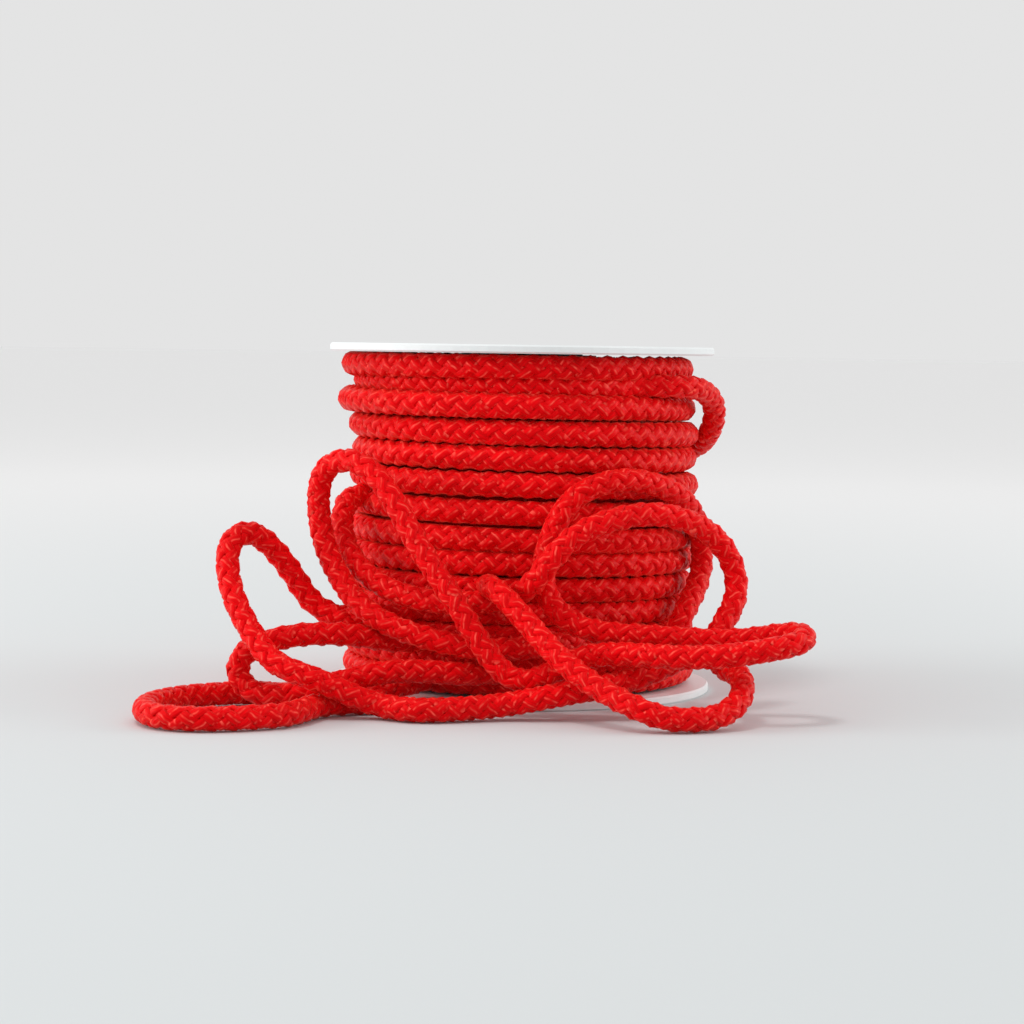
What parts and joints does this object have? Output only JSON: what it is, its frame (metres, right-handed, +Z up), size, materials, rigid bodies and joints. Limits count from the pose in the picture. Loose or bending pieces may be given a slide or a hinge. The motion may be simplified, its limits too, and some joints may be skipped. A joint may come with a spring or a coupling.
{
  "type": "spool of braided cord",
  "caption": "Small flanged spool standing on its flange, wound with soft round braided cord whose loose end lies pulled off in loops in front.",
  "frame": {"origin": "centre of the bottom flange's underside, on the surface the spool stands on", "axes": "+Z up along the spool's axis; -Y is the front, where the loose loops lie; +X to the right seen from the front"},
  "size_m": [0.1499, 0.1333, 0.0832],
  "materials": {
    "spool_plastic": "smooth moulded, semi-gloss",
    "cord_braid": "braided multifilament, slight sheen"
  },
  "bodies": {
    "root": {"bottom_flange": "spool_plastic", "top_flange": "spool_plastic", "core_tube": "spool_plastic", "cord_winding": "cord_braid", "cord_slipped_loop": "cord_braid", "cord_wide_loop": "cord_braid", "cord_front_loop": "cord_braid", "cord_right_loop": "cord_braid", "cord_left_loop": "cord_braid", "cord_small_loop": "cord_braid", "cord_floor_loop": "cord_braid"}
  },
  "joints": []
}
